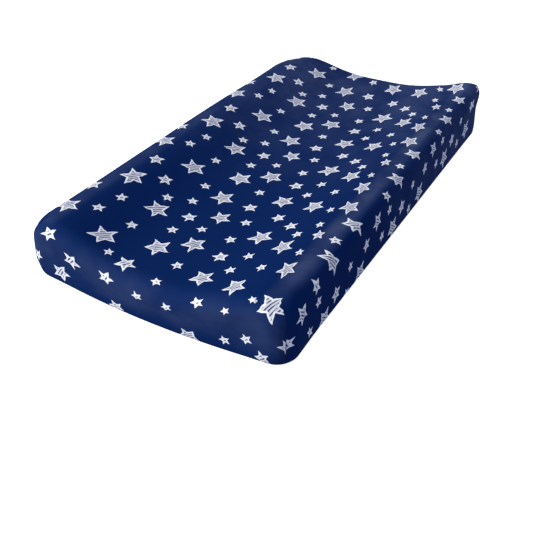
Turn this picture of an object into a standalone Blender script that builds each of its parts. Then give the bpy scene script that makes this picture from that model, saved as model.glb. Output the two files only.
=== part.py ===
"""Contoured changing pad in a fitted cover: foam cradle, zipped waterproof liner, elasticated cover.

Metres, +Z up, the pad lying on z = 0 with its length along Y. Layers, outside in:
cover panel, liner, foam. Underneath: hem, elastic, base panel with a zip, foam.
"""
import math

import bpy
from mathutils import Vector

# ---- driving dimensions -------------------------------------------------------------
LENGTH = 0.813            # overall, over the bowed ends
WIDTH = 0.4222
RIM_HEIGHT = 0.0922       # top of the two side rims
VALLEY = 0.0284           # how far the middle lies below the rims
CRADLE_POWER = 1.5        # higher puts the cradle's steep part further out
END_BOW = 0.0157          # the ends bulge this much in plan
CORNER_R = 0.0289         # plan radius of the corners
RIM_R = 0.0242            # rounding from wall to top
WALL_LEAN = 0.0022        # wall leans inwards by this much up to the rim
RIM_RUN = 0.0354          # from the wall to where the side ridge is highest
HEM_R = 0.0080            # rounding from wall to underside

COVER_T = 0.0012
LINER_T = 0.0012
HEM_T = 0.0009
LAYER_GAP = 0.0004
HEM_TUCK = 0.0640         # the hem's inner edge, in from the wall
ELASTIC_W = 0.0060
ELASTIC_T = 0.0008

PIPING_R = 0.0018
PIPING_INSET = 0.0050
PIPING_Z = 0.0056

BASE_Z = 0.0024           # underside of the base panel above the hem
BASE_T = 0.0012
ISLAND_X = (-0.0740, 0.1240)
ISLAND_Y = 0.3100

ZIP_X = -0.1020
ZIP_SLOT = 0.0060         # half width of the slot in the base panel
ZIP_HALF = 0.2400         # half length of the coil
TAPE_W = 0.0160
TAPE_Z = 0.0040
TAPE_T = 0.0006
COIL_GAP = 0.00065        # half gap between the two coils, where the slider's post runs
COIL_W = 0.0024
COIL_Z = 0.0028
COIL_T = 0.0009
SLIDER_L = 0.0120
SLIDER_W = 0.0090
SLIDER_Y = -0.2290        # closed end

ARC_STEPS = 3             # per half corner
END_STEPS = 12            # straight run of an end
SIDE_STEPS = 4            # straight run of a side
RIM_STEPS = 4

HALF_W = WIDTH / 2.0
HALF_L = LENGTH / 2.0 - END_BOW
COVER_IN = COVER_T + LAYER_GAP
FOAM_IN = COVER_IN + LINER_T + LAYER_GAP


# ---- scene helpers ------------------------------------------------------------------
for old in list(bpy.data.objects):
    bpy.data.objects.remove(old, do_unlink=True)

PART = bpy.data.collections.new("changing_pad_with_cover")
bpy.context.scene.collection.children.link(PART)
CUTTERS = bpy.data.collections.new("cutters")
bpy.context.scene.collection.children.link(CUTTERS)


def material(name, colour, roughness, metallic=0.0):
    mat = bpy.data.materials.new(name)
    mat.use_nodes = True
    shader = mat.node_tree.nodes["Principled BSDF"]
    shader.inputs["Base Color"].default_value = (colour[0], colour[1], colour[2], 1.0)
    shader.inputs["Roughness"].default_value = roughness
    shader.inputs["Metallic"].default_value = metallic
    return mat


def add_object(name, data, mat, collection=None):
    obj = bpy.data.objects.new(name, data)
    (collection or PART).objects.link(obj)
    if mat is not None:
        data.materials.append(mat)
    return obj


def mesh_object(name, verts, faces, mat, collection=None):
    mesh = bpy.data.meshes.new(name)
    mesh.from_pydata([tuple(v) for v in verts], [], faces)
    mesh.validate()
    mesh.update()
    return add_object(name, mesh, mat, collection)


def block(name, low, high, mat, collection=None, bevel=0.0):
    x0, y0, z0 = low
    x1, y1, z1 = high
    verts = [(x0, y0, z0), (x1, y0, z0), (x1, y1, z0), (x0, y1, z0),
             (x0, y0, z1), (x1, y0, z1), (x1, y1, z1), (x0, y1, z1)]
    faces = [(0, 3, 2, 1), (4, 5, 6, 7), (0, 1, 5, 4), (1, 2, 6, 5), (2, 3, 7, 6), (3, 0, 4, 7)]
    obj = mesh_object(name, verts, faces, mat, collection)
    if bevel > 0.0:
        mod = obj.modifiers.new("edges", "BEVEL")
        mod.width = bevel
        mod.segments = 1
        mod.limit_method = "ANGLE"
    return obj


def cutter(name, low, high):
    obj = block(name, low, high, None, CUTTERS)
    obj.hide_render = True
    obj.display_type = "WIRE"
    return obj


def boolean(obj, tool, operation):
    mod = obj.modifiers.new(tool.name, "BOOLEAN")
    mod.operation = operation
    mod.solver = "EXACT"
    mod.object = tool


def thicken(obj, thickness):
    mod = obj.modifiers.new("fabric", "SOLIDIFY")
    mod.thickness = thickness
    mod.offset = -1.0
    mod.use_even_offset = True
    mod.use_rim = True


# ---- the pad's shape ----------------------------------------------------------------
def crown(x):
    """Height of the top surface over the width: low in the middle, highest along the sides."""
    t = min(abs(x) / (HALF_W - RIM_RUN), 1.0)
    shape = math.sin(0.5 * math.pi * t ** CRADLE_POWER) ** 2
    return RIM_HEIGHT - VALLEY + VALLEY * shape


def plan_loop(inset, radius):
    """Plan outline, anticlockwise from the middle of the -X -Y corner."""
    a = HALF_W - inset
    b = HALF_L - inset
    r = max(radius, 0.003)
    centres = ((-a + r, -b + r), (a - r, -b + r), (a - r, b - r), (-a + r, b - r))
    steps = (END_STEPS, SIDE_STEPS, END_STEPS, SIDE_STEPS)
    points = []
    for side in range(4):
        c0 = centres[side]
        c1 = centres[(side + 1) % 4]
        start = math.radians(225.0 + 90.0 * side)
        normal = math.radians(270.0 + 90.0 * side)
        for k in range(ARC_STEPS):
            t = start + math.radians(45.0) * k / ARC_STEPS
            points.append((c0[0] + r * math.cos(t), c0[1] + r * math.sin(t)))
        p0 = (c0[0] + r * math.cos(normal), c0[1] + r * math.sin(normal))
        p1 = (c1[0] + r * math.cos(normal), c1[1] + r * math.sin(normal))
        for k in range(steps[side] + 1):
            s = k / steps[side]
            points.append((p0[0] + (p1[0] - p0[0]) * s, p0[1] + (p1[1] - p0[1]) * s))
        for k in range(1, ARC_STEPS):
            t = normal + math.radians(45.0) * k / ARC_STEPS
            points.append((c1[0] + r * math.cos(t), c1[1] + r * math.sin(t)))
    bowed = []
    for x, y in points:
        swell = max(0.0, 1.0 - (x / a) ** 2) * min(abs(y) / b, 1.0) ** 4
        bowed.append((x, y + math.copysign(END_BOW * swell, y)))
    return bowed


ROW = 2 * ARC_STEPS + END_STEPS      # segments along an end, corner middle to corner middle
COLUMN = 2 * ARC_STEPS + SIDE_STEPS
COUNT = 2 * (ROW + COLUMN)
CORNERS = (0, ROW, ROW + COLUMN, 2 * ROW + COLUMN)


def wall_loop(inset, z):
    return [Vector((x, y, z)) for x, y in plan_loop(inset, CORNER_R - inset)]


def rim_loop(depth, turn):
    """Loop on the rim of the surface that lies `depth` inside the outer one."""
    r = RIM_R - depth
    inset = depth + WALL_LEAN + r * (1.0 - math.cos(turn))
    radius = CORNER_R - depth - 0.35 * r * (1.0 - math.cos(turn))
    loop = []
    for x, y in plan_loop(inset, radius):
        loop.append(Vector((x, y, crown(x) - depth - r + r * math.sin(turn))))
    return loop


def top_grid(depth, loop):
    """Rows of points filling the last rim loop, the boundary rows being the loop itself."""
    south = loop[0:ROW + 1]
    east = loop[ROW:ROW + COLUMN + 1]
    north = list(reversed(loop[ROW + COLUMN:2 * ROW + COLUMN + 1]))
    west = list(reversed(loop[2 * ROW + COLUMN:] + loop[0:1]))
    width = south[-1].x - south[0].x
    height = west[-1].y - west[0].y
    rows = []
    for j in range(COLUMN + 1):
        v = (west[j].y - west[0].y) / height
        row = []
        for i in range(ROW + 1):
            u = (south[i].x - south[0].x) / width
            if j in (0, COLUMN) or i in (0, ROW):
                row.append(None)
                continue
            p = south[i] * (1.0 - v) + north[i] * v + west[j] * (1.0 - u) + east[j] * u
            p -= south[0] * (1.0 - u) * (1.0 - v) + south[-1] * u * (1.0 - v)
            p -= north[0] * (1.0 - u) * v + north[-1] * u * v
            row.append(Vector((p.x, p.y, crown(p.x) - depth)))
        rows.append(row)
    return rows


def join_loops(loops):
    """Verts and outward faces of stacked loops, the first one lowest."""
    verts = [p for loop in loops for p in loop]
    faces = []
    for k in range(len(loops) - 1):
        for i in range(COUNT):
            j = (i + 1) % COUNT
            faces.append((k * COUNT + i, k * COUNT + j, (k + 1) * COUNT + j, (k + 1) * COUNT + i))
    return verts, faces


def dome(loops, depth):
    """Stacked loops closed on top by the cradle surface; open underneath."""
    verts, faces = join_loops(loops)
    base = (len(loops) - 1) * COUNT
    grid = top_grid(depth, loops[-1])
    index = {}
    for j in range(COLUMN + 1):
        for i in range(ROW + 1):
            if j == 0:
                index[i, j] = base + i
            elif i == ROW:
                index[i, j] = base + ROW + j
            elif j == COLUMN:
                index[i, j] = base + ROW + COLUMN + (ROW - i)
            elif i == 0:
                index[i, j] = base + (2 * ROW + COLUMN + (COLUMN - j)) % COUNT
            else:
                index[i, j] = len(verts)
                verts.append(grid[j][i])
    for j in range(COLUMN):
        for i in range(ROW):
            faces.append((index[i, j], index[i + 1, j], index[i + 1, j + 1], index[i, j + 1]))
    return verts, faces


def pad_loops(depth, foot_z):
    loops = [wall_loop(depth, foot_z)]
    for k in range(RIM_STEPS + 1):
        loops.append(rim_loop(depth, math.radians(90.0) * k / RIM_STEPS))
    return loops


# ---- foam core ----------------------------------------------------------------------
foam_mat = material("foam", (0.86, 0.80, 0.66), 0.95)
foam_top = BASE_Z + BASE_T + LAYER_GAP
loops = [wall_loop(PIPING_INSET + PIPING_R + 0.0016, foam_top),
         wall_loop(PIPING_INSET + PIPING_R + 0.0012, PIPING_Z + PIPING_R + 0.0008)]
loops += pad_loops(FOAM_IN, PIPING_Z + PIPING_R + 0.0026)
verts, faces = dome(loops, FOAM_IN)
faces.append(tuple(reversed(range(COUNT))))
foam = mesh_object("foam_core", verts, faces, foam_mat)
relief = cutter("zip_relief", (ZIP_X - 0.020, -0.264, 0.0), (ZIP_X + 0.020, 0.264, 0.0082))
boolean(foam, relief, "DIFFERENCE")

# ---- waterproof liner ---------------------------------------------------------------
liner_mat = material("liner_vinyl", (0.93, 0.93, 0.92), 0.35)
verts, faces = dome(pad_loops(COVER_IN, PIPING_Z + PIPING_R + 0.0006), COVER_IN)
liner = mesh_object("liner_top", verts, faces, liner_mat)
thicken(liner, LINER_T)

base_mat = material("liner_base_fabric", (0.80, 0.81, 0.82), 0.7)
panel_edge = PIPING_INSET + PIPING_R + LAYER_GAP
low_loop = wall_loop(panel_edge, BASE_Z)
high_loop = wall_loop(panel_edge, BASE_Z + BASE_T)
verts, faces = join_loops([low_loop, high_loop])
faces.append(tuple(reversed(range(COUNT))))
faces.append(tuple(range(COUNT, 2 * COUNT)))
base = mesh_object("liner_base", verts, faces, base_mat)
# the middle of the base is pressed down through the hem's opening and meets the floor
island = block("base_island", (ISLAND_X[0], -ISLAND_Y, 0.0),
               (ISLAND_X[1], ISLAND_Y, BASE_Z + 0.5 * BASE_T), None, CUTTERS)
island.hide_render = True
island.display_type = "WIRE"
boolean(base, island, "UNION")
slot = cutter("zip_slot", (ZIP_X - ZIP_SLOT, -ZIP_HALF - 0.008, -0.001),
              (ZIP_X + ZIP_SLOT, ZIP_HALF + 0.008, 0.010))
boolean(base, slot, "DIFFERENCE")

piping_mat = material("piping_vinyl", (0.90, 0.90, 0.89), 0.4)


def tube(name, points, radius, closed, mat, sides=1):
    data = bpy.data.curves.new(name, "CURVE")
    data.dimensions = "3D"
    spline = data.splines.new("POLY")
    spline.points.add(len(points) - 1)
    for k, p in enumerate(points):
        spline.points[k].co = (p[0], p[1], p[2], 1.0)
    spline.use_cyclic_u = closed
    data.bevel_depth = radius
    data.bevel_resolution = sides
    data.use_fill_caps = not closed
    return add_object(name, data, mat)


tube("liner_piping", wall_loop(PIPING_INSET, PIPING_Z), PIPING_R, True, piping_mat)

# ---- fitted cover -------------------------------------------------------------------
cover_mat = material("cover_knit", (0.020, 0.050, 0.200), 0.85)
verts, faces = dome(pad_loops(0.0, HEM_R + 0.0002), 0.0)
cover = mesh_object("cover_panel", verts, faces, cover_mat)
thicken(cover, COVER_T)

hem_mat = material("cover_hem_knit", (0.020, 0.050, 0.190), 0.85)
hem_loops = []
for inset in (HEM_TUCK, 0.5 * (HEM_TUCK + HEM_R)):
    hem_loops.append([Vector((x, y, 0.0)) for x, y in plan_loop(inset, CORNER_R + 0.6 * inset)])
for k in range(4):
    turn = math.radians(90.0) * k / 3
    inset = HEM_R * (1.0 - math.sin(turn))
    z = HEM_R * (1.0 - math.cos(turn))
    if k == 3:
        z -= 0.0006
    hem_loops.append(wall_loop(inset, z))
verts, faces = join_loops(hem_loops)
hem = mesh_object("cover_hem", verts, faces, hem_mat)
thicken(hem, HEM_T)

elastic_mat = material("elastic_rubber", (0.92, 0.92, 0.90), 0.7)
outer = HEM_TUCK - ELASTIC_W
foot = HEM_T + LAYER_GAP
rings = []
for inset, z in ((outer, foot), (outer, foot + ELASTIC_T), (HEM_TUCK, foot + ELASTIC_T),
                 (HEM_TUCK, foot)):
    rings.append([Vector((x, y, z)) for x, y in plan_loop(inset, CORNER_R + 0.6 * inset)])
verts, faces = join_loops(rings)
for i in range(COUNT):
    j = (i + 1) % COUNT
    faces.append((3 * COUNT + i, 3 * COUNT + j, j, i))
mesh_object("elastic_band", verts, faces, elastic_mat)

label_mat = material("label_satin", (0.95, 0.95, 0.94), 0.5)
block("care_label", (-HALF_W + 0.0160, -0.2200, 0.00125), (-HALF_W + 0.0480, -0.1780, 0.00165),
      label_mat)

seam_mat = material("seam_thread", (0.030, 0.060, 0.200), 0.8)
SEAM_R = 0.00045
lift = 0.0004 + SEAM_R
for name, corner, sx, sy in (("seam_near_left", 0, -1, -1), ("seam_near_right", 1, 1, -1),
                             ("seam_far_right", 2, 1, 1), ("seam_far_left", 3, -1, 1)):
    out = Vector((sx, sy, 0.0)).normalized()
    line = [wall_loop(0.0, HEM_R + 0.0030)[CORNERS[corner]] + out * lift]
    for k in range(RIM_STEPS):
        turn = math.radians(90.0) * k / RIM_STEPS
        away = out * math.cos(turn) + Vector((0.0, 0.0, math.sin(turn)))
        line.append(rim_loop(0.0, turn)[CORNERS[corner]] + away * lift)
    tube(name, line, SEAM_R, False, seam_mat, 0)

# ---- zip ----------------------------------------------------------------------------
tape_mat = material("zip_tape", (0.88, 0.88, 0.87), 0.8)
coil_mat = material("zip_coil_plastic", (0.90, 0.90, 0.88), 0.45)
metal_mat = material("zip_metal", (0.62, 0.62, 0.64), 0.3, 1.0)
for side, sign in (("left", -1.0), ("right", 1.0)):
    near = ZIP_X + sign * COIL_GAP
    far = ZIP_X + sign * TAPE_W
    coil = ZIP_X + sign * (COIL_GAP + COIL_W)
    block("zip_tape_" + side, (min(near, far), -0.2500, TAPE_Z),
          (max(near, far), 0.2500, TAPE_Z + TAPE_T), tape_mat)
    block("zip_coil_" + side, (min(near, coil), -ZIP_HALF, COIL_Z),
          (max(near, coil), ZIP_HALF, COIL_Z + COIL_T), coil_mat, bevel=0.0002)

for name, y in (("zip_stop_top", -ZIP_HALF - 0.0020), ("zip_stop_bottom", ZIP_HALF + 0.0020)):
    block(name, (ZIP_X - 0.0028, y - 0.0015, COIL_Z - 0.0001),
          (ZIP_X + 0.0028, y + 0.0015, COIL_Z + COIL_T), metal_mat, bevel=0.0002)

PLATE_Z = 0.0017          # outer plate of the slider
PLATE_T = 0.0007
INNER_Z = TAPE_Z + TAPE_T + 0.0004
half_w = 0.5 * SLIDER_W
half_l = 0.5 * SLIDER_L
slider = block("zip_slider", (ZIP_X - half_w, SLIDER_Y - half_l, PLATE_Z),
               (ZIP_X + half_w, SLIDER_Y + half_l, PLATE_Z + PLATE_T), metal_mat)
pieces = [
    ("slider_inner", (-half_w, -half_l, INNER_Z), (half_w, half_l, INNER_Z + PLATE_T)),
    ("slider_post", (-0.00035, -0.0025, PLATE_Z + 0.5 * PLATE_T),
     (0.00035, 0.0025, INNER_Z + 0.5 * PLATE_T)),
    ("slider_flange_left", (-half_w, -half_l, PLATE_Z + 0.5 * PLATE_T),
     (-half_w + 0.0008, half_l, 0.0034)),
    ("slider_flange_right", (half_w - 0.0008, -half_l, PLATE_Z + 0.5 * PLATE_T),
     (half_w, half_l, 0.0034)),
    ("slider_arch_foot_a", (-0.0008, -0.0042, 0.00012), (0.0008, -0.0032, PLATE_Z + 0.0002)),
    ("slider_arch_foot_b", (-0.0008, -0.0010, 0.00012), (0.0008, 0.0000, PLATE_Z + 0.0002)),
    ("slider_arch", (-0.00075, -0.0040, 0.00010), (0.00075, -0.0002, 0.00042)),
]
for name, low, high in pieces:
    tool = block(name, (ZIP_X + low[0], SLIDER_Y + low[1], low[2]),
                 (ZIP_X + high[0], SLIDER_Y + high[1], high[2]), None, CUTTERS)
    tool.hide_render = True
    tool.display_type = "WIRE"
    boolean(slider, tool, "UNION")

# the tab's end bar lies in the slider's arch: the hinge axis runs along X through it
PIN_Y = SLIDER_Y - 0.0021
PIN_Z = 0.00106
hinge = bpy.data.objects.new("tab_hinge", None)
hinge.location = (ZIP_X, PIN_Y, PIN_Z)
hinge.empty_display_size = 0.004
PART.objects.link(hinge)
tab = block("zip_pull_tab", (-0.0025, -0.00032, -0.00032), (0.0025, 0.0220, 0.00032), metal_mat)
window = block("tab_window", (-0.0014, 0.00032, -0.002), (0.0014, 0.0070, 0.002), None, CUTTERS)
window.hide_render = True
window.display_type = "WIRE"
window.location = (ZIP_X, PIN_Y, PIN_Z)
tab.location = (0.0, 0.0, 0.0)
tab.parent = hinge
boolean(tab, window, "DIFFERENCE")
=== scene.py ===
import math

import bmesh
import bpy
import numpy as np
from mathutils import Matrix, Vector


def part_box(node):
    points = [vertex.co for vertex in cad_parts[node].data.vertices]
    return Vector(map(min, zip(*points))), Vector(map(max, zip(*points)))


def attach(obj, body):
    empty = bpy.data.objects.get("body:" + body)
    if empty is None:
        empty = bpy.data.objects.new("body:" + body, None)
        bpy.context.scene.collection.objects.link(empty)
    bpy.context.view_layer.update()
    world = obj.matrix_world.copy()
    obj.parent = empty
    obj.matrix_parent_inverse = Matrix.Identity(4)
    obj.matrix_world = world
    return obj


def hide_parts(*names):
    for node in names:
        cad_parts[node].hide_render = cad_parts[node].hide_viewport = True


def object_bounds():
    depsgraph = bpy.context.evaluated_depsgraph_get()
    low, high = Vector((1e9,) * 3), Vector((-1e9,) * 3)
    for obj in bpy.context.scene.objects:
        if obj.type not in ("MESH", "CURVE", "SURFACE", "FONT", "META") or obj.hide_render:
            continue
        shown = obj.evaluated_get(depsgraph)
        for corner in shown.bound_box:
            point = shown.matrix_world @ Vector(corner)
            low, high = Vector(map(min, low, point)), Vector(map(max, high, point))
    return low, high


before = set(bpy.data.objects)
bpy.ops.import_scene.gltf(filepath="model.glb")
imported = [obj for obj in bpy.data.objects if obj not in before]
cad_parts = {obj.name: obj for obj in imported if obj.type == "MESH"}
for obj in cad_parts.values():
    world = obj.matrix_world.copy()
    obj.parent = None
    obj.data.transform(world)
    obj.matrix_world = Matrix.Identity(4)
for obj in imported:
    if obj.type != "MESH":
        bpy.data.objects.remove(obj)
cad_low, cad_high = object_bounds()

# ---- dimensions shared with the CAD, in metres ----
_, COVER_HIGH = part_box("cover_panel")
END_BOW = 0.0157          # how far the two ends bulge out at their middle
HALF_W = COVER_HIGH.x
HALF_L = COVER_HIGH.y - END_BOW
RIM_HEIGHT = COVER_HIGH.z
VALLEY = 0.0284           # depth of the cradle's middle below the rims
CRADLE_POWER = 1.5        # over 1 it flattens the cradle's bottom
CORNER_R = 0.0289
RIM_R = 0.0242            # rounding between top and wall
WALL_LEAN = 0.0022
RIM_RUN = 0.0354          # width of a side rim, from the wall to where the cradle starts
HEM_R = 0.0080
HEM_TUCK = 0.0640         # how far the hem reaches in under the pad
COVER_T = 0.0012

# ---- sizes of the looks only, in metres ----
WALL_PRINT = 0.058                        # cloth down the wall, as the print counts it
# how far the cover stands off a plain shape: all over, by place, and in the corners' creases
RIPPLE, LEFT_RIM_RISE, FAR_RISE, SHOULDER, CREASE = 0.0005, 0.0022, 0.0018, 0.0024, 0.0007
CORNER_X, CORNER_Y = 0.075, 0.090         # how far a corner's own shape reaches
# side, end, how far the corner stands out low down and high up, and how much it rises
CORNERS = [(-1, -1, 0.0095, 0.0, 0.0), (1, -1, 0.0065, 0.0, 0.0),
           (1, 1, 0.0020, 0.0080, 0.0165), (-1, 1, -0.0060, -0.0030, -0.0100)]

# ---- sizes of weaves and stitching, in millimetres ----
KNIT_COLUMN, KNIT_COURSE = 1.1, 0.9
GATHER = 11.0                             # from one fold of the gathered hem to the next
QUILT, QUILT_COS, QUILT_SIN = 62.0, 0.8192, 0.5736   # quilting lines, 35 degrees off square
GRIP_DOTS = 6.0

NAVY = (0.0008, 0.0155, 0.0860)


# ---- node helper ----
class Net:
    """Short calls for building a material's nodes."""

    def __init__(self, name):
        self.mat = bpy.data.materials.new(name)
        self.mat.use_nodes = True
        self.tree = self.mat.node_tree
        self.bsdf = self.tree.nodes["Principled BSDF"]

    def node(self, kind, **settings):
        made = self.tree.nodes.new("ShaderNode" + kind)
        for key, value in settings.items():
            setattr(made, key, value)
        return made

    def put(self, socket, value):
        if isinstance(value, bpy.types.NodeSocket):
            self.tree.links.new(value, socket)
        elif value is not None:
            socket.default_value = value

    def shader(self, **values):
        """Sets the shader's own sockets, by their names with _ for a space."""
        for name, value in values.items():
            self.put(self.bsdf.inputs[name.replace("_", " ")], value)

    def math(self, op, a, b=None, c=None):
        n = self.node("Math", operation=op)
        for socket, value in zip(n.inputs, (a, b, c)):
            self.put(socket, value)
        return n.outputs[0]

    def add(self, a, b):
        return self.math("ADD", a, b)

    def sub(self, a, b):
        return self.math("SUBTRACT", a, b)

    def mul(self, a, b):
        return self.math("MULTIPLY", a, b)

    def wave(self, value, pitch):
        """Sine that repeats every pitch."""
        return self.math("SINE", self.mul(value, 2 * math.pi / pitch))

    def vec(self, op, a, b=None, c=None, out=0):
        n = self.node("VectorMath", operation=op)
        for socket, value in zip(n.inputs, (a, b, c)):
            self.put(socket, value)
        return n.outputs[out]

    def ramp(self, value, low, high, to_low=0.0, to_high=1.0):
        """Smooth step from to_low at low to to_high at high."""
        n = self.node("MapRange", interpolation_type="SMOOTHSTEP")
        for socket, given in zip(n.inputs, (value, low, high, to_low, to_high)):
            self.put(socket, given)
        return n.outputs[0]

    def mix(self, factor, a, b):
        n = self.node("Mix", data_type="RGBA")
        self.put(n.inputs[0], factor)
        self.put(n.inputs[6], a)
        self.put(n.inputs[7], b)
        return n.outputs[2]

    def noise(self, vector, scale, detail=2.0, rough=0.5, out=0):
        n = self.node("TexNoise")
        for name, given in (("Vector", vector), ("Scale", scale), ("Detail", detail),
                            ("Roughness", rough)):
            self.put(n.inputs[name], given)
        return n.outputs[out]

    def uv(self, name):
        """A UV layer's coordinates in millimetres; the layers are in metres."""
        return self.scaled(self.node("UVMap", uv_map=name).outputs[0], 1000.0)

    def scaled(self, vector, factor):
        n = self.node("VectorMath", operation="SCALE")
        self.put(n.inputs[0], vector)
        self.put(n.inputs["Scale"], factor)
        return n.outputs[0]

    def bump(self, height, distance, strength, normal=None):
        n = self.node("Bump")
        for name, given in (("Strength", strength), ("Distance", distance), ("Height", height),
                            ("Normal", normal)):
            self.put(n.inputs[name], given)
        return n.outputs[0]

    def split(self, vector):
        n = self.node("SeparateXYZ")
        self.put(n.inputs[0], vector)
        return n.outputs

    def join(self, x, y, z=0.0):
        n = self.node("CombineXYZ")
        for socket, value in zip(n.inputs, (x, y, z)):
            self.put(socket, value)
        return n.outputs[0]


# ---- mesh helpers ----
def smooth(value, low, high):
    t = np.clip((value - low) / (high - low), 0.0, 1.0)
    return t * t * (3 - 2 * t)


def put_in(name, data):
    """Object of the data, in the scene."""
    obj = bpy.data.objects.new(name, data)
    bpy.context.scene.collection.objects.link(obj)
    return obj


def cloth_piece(name, verts, faces, uvs):
    """Object with a UV layer "cloth", which holds metres over the flat fabric."""
    mesh = bpy.data.meshes.new(name)
    mesh.from_pydata([tuple(v) for v in verts], [], [tuple(int(i) for i in f) for f in faces])
    layer = mesh.uv_layers.new(name="cloth")
    layer.data.foreach_set("uv", np.array(uvs, np.float32).ravel())
    mesh.polygons.foreach_set("use_smooth", [True] * len(mesh.polygons))
    mesh.update()
    return put_in(name, mesh)


def grid_faces(index, verts, down=False):
    """Quads over a grid of vertex numbers, facing up or down, and their flat coordinates."""
    faces = []
    for low, high in zip(index, index[1:]):
        for i in range(len(low) - 1):
            f = (low[i], low[i + 1], high[i + 1], high[i])
            faces.append((f[0], f[3], f[2], f[1]) if down else f)
    return faces, [verts[k][:2] for f in faces for k in f]


def dress(obj, mat, body, slot, *nodes):
    obj.data.materials.append(mat)
    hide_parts(*nodes)
    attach(obj, body)
    return obj


def thicken(obj, thickness):
    solid = obj.modifiers.new("cloth", "SOLIDIFY")
    solid.thickness = thickness
    solid.offset = -1.0
    return solid


# ---- the pad's shape ----
def crown(x):
    """Height of the top across the pad: the cradle between two side rims."""
    t = np.minimum(np.abs(x) / (HALF_W - RIM_RUN), 1.0)
    return RIM_HEIGHT - VALLEY + VALLEY * np.sin(0.5 * np.pi * t ** CRADLE_POWER) ** 2


class Shell:
    """The covered pad's skin as a grid of loops, with fabric coordinates for every corner."""

    def __init__(self, arc=8, ends=72, sides=150, rim=10, wall=13):
        self.arc, self.ends, self.sides, self.rim, self.wall = arc, ends, sides, rim, wall
        self.row = 2 * arc + ends
        self.col = 2 * arc + sides
        self.count = 2 * (self.row + self.col)

    def plan(self, inset, radius):
        """The outline seen from above, from the near left corner and round by the right."""
        a, b, r = HALF_W - inset, HALF_L - inset, max(radius, 0.003)
        centres = ((-a + r, -b + r), (a - r, -b + r), (a - r, b - r), (-a + r, b - r))
        steps = (self.ends, self.sides, self.ends, self.sides)
        points = []
        for side in range(4):
            c0, c1 = centres[side], centres[(side + 1) % 4]
            start, normal = math.radians(225 + 90 * side), math.radians(270 + 90 * side)
            for k in range(self.arc):
                t = start + math.radians(45) * k / self.arc
                points.append((c0[0] + r * math.cos(t), c0[1] + r * math.sin(t)))
            p0 = (c0[0] + r * math.cos(normal), c0[1] + r * math.sin(normal))
            p1 = (c1[0] + r * math.cos(normal), c1[1] + r * math.sin(normal))
            for k in range(steps[side] + 1):
                s = k / steps[side]
                points.append((p0[0] + (p1[0] - p0[0]) * s, p0[1] + (p1[1] - p0[1]) * s))
            for k in range(1, self.arc):
                t = normal + math.radians(45) * k / self.arc
                points.append((c1[0] + r * math.cos(t), c1[1] + r * math.sin(t)))
        p = np.array(points)
        swell = np.clip(1.0 - (p[:, 0] / a) ** 2, 0, 1) * np.minimum(np.abs(p[:, 1]) / b, 1.0) ** 4
        p[:, 1] += np.sign(p[:, 1]) * END_BOW * swell
        return p

    def loops(self, depth, foot):
        """From the top's edge outwards and down: (points, distance along the cloth) per loop."""
        r = RIM_R - depth
        made = []
        for k in range(self.rim + 1):
            turn = math.radians(90) * (1.0 - k / self.rim)
            inset = depth + WALL_LEAN + r * (1 - math.cos(turn))
            radius = CORNER_R - depth - 0.35 * r * (1 - math.cos(turn))
            p = self.plan(inset, radius)
            z = crown(p[:, 0]) - depth - r + r * math.sin(turn)
            made.append((np.column_stack([p, z]), r * math.radians(90) * k / self.rim))
        top = made[-1][0]
        for k in range(1, self.wall + 1):
            s = k / self.wall
            inset = depth + WALL_LEAN * (1 - s)
            p = self.plan(inset, CORNER_R - depth)
            z = top[:, 2] * (1 - s) + foot * s
            made.append((np.column_stack([p, z]), made[self.rim][1] + WALL_PRINT * s))
        return made

    def top(self, depth, loop):
        """Grid of points filling the first loop."""
        row, col = self.row, self.col
        south = loop[0:row + 1]
        east = loop[row:row + col + 1]
        north = loop[row + col:2 * row + col + 1][::-1]
        west = np.vstack([loop[2 * row + col:], loop[0:1]])[::-1]
        u = ((south[:, 0] - south[0, 0]) / (south[-1, 0] - south[0, 0]))[None, :, None]
        v = ((west[:, 1] - west[0, 1]) / (west[-1, 1] - west[0, 1]))[:, None, None]
        p = south[None] * (1 - v) + north[None] * v + west[:, None] * (1 - u) + east[:, None] * u
        p = p - (south[0] * (1 - u) * (1 - v) + south[-1] * u * (1 - v)
                 + north[0] * (1 - u) * v + north[-1] * u * v)
        p[..., 2] = crown(p[..., 0]) - depth
        p[0], p[-1], p[:, 0], p[:, -1] = south, north, west, east
        return p

    def build(self, name, depth, foot, tuck=None, shape=None, under=None):
        """The skin's object, its UV layer cut open at the four corners."""
        loops = self.loops(depth, foot)
        if tuck is not None:
            loops = loops + tuck(self, loops[-1])
        n, row, col = self.count, self.row, self.col
        verts = np.vstack([p for p, _ in loops])
        grid = self.top(depth, loops[0][0])
        index = np.zeros((col + 1, row + 1), int)
        index[0] = np.arange(row + 1)
        index[:, row] = row + np.arange(col + 1)
        index[col] = row + col + np.arange(row + 1)[::-1]
        index[:, 0] = (2 * row + col + np.arange(col + 1)[::-1]) % n
        inner = np.arange((col - 1) * (row - 1)).reshape(col - 1, row - 1) + len(verts)
        index[1:-1, 1:-1] = inner
        verts = np.vstack([verts, grid[1:-1, 1:-1].reshape(-1, 3)])
        faces, uvs = grid_faces(index, verts)
        first = loops[0][0]
        for i in range(n):
            j = (i + 1) % n
            side = (i >= row) + (i >= row + col) + (i >= 2 * row + col)
            way = ((0.0, -1.0), (1.0, 0.0), (0.0, 1.0), (-1.0, 0.0))[side]
            along = (abs(way[1]), abs(way[0]))
            for k in range(len(loops) - 1):
                faces.append((k * n + i, (k + 1) * n + i, (k + 1) * n + j, k * n + j))
                for kk, ii in ((k, i), (k + 1, i), (k + 1, j), (k, j)):
                    p0, p, s = first[ii], loops[kk][0][ii], loops[kk][1]
                    # sideways along the edge the cloth follows the outline as it widens
                    extra = (p[0] - p0[0]) * along[0], (p[1] - p0[1]) * along[1]
                    uvs.append((p0[0] + way[0] * s + extra[0], p0[1] + way[1] * s + extra[1]))
        if under is not None:
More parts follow.
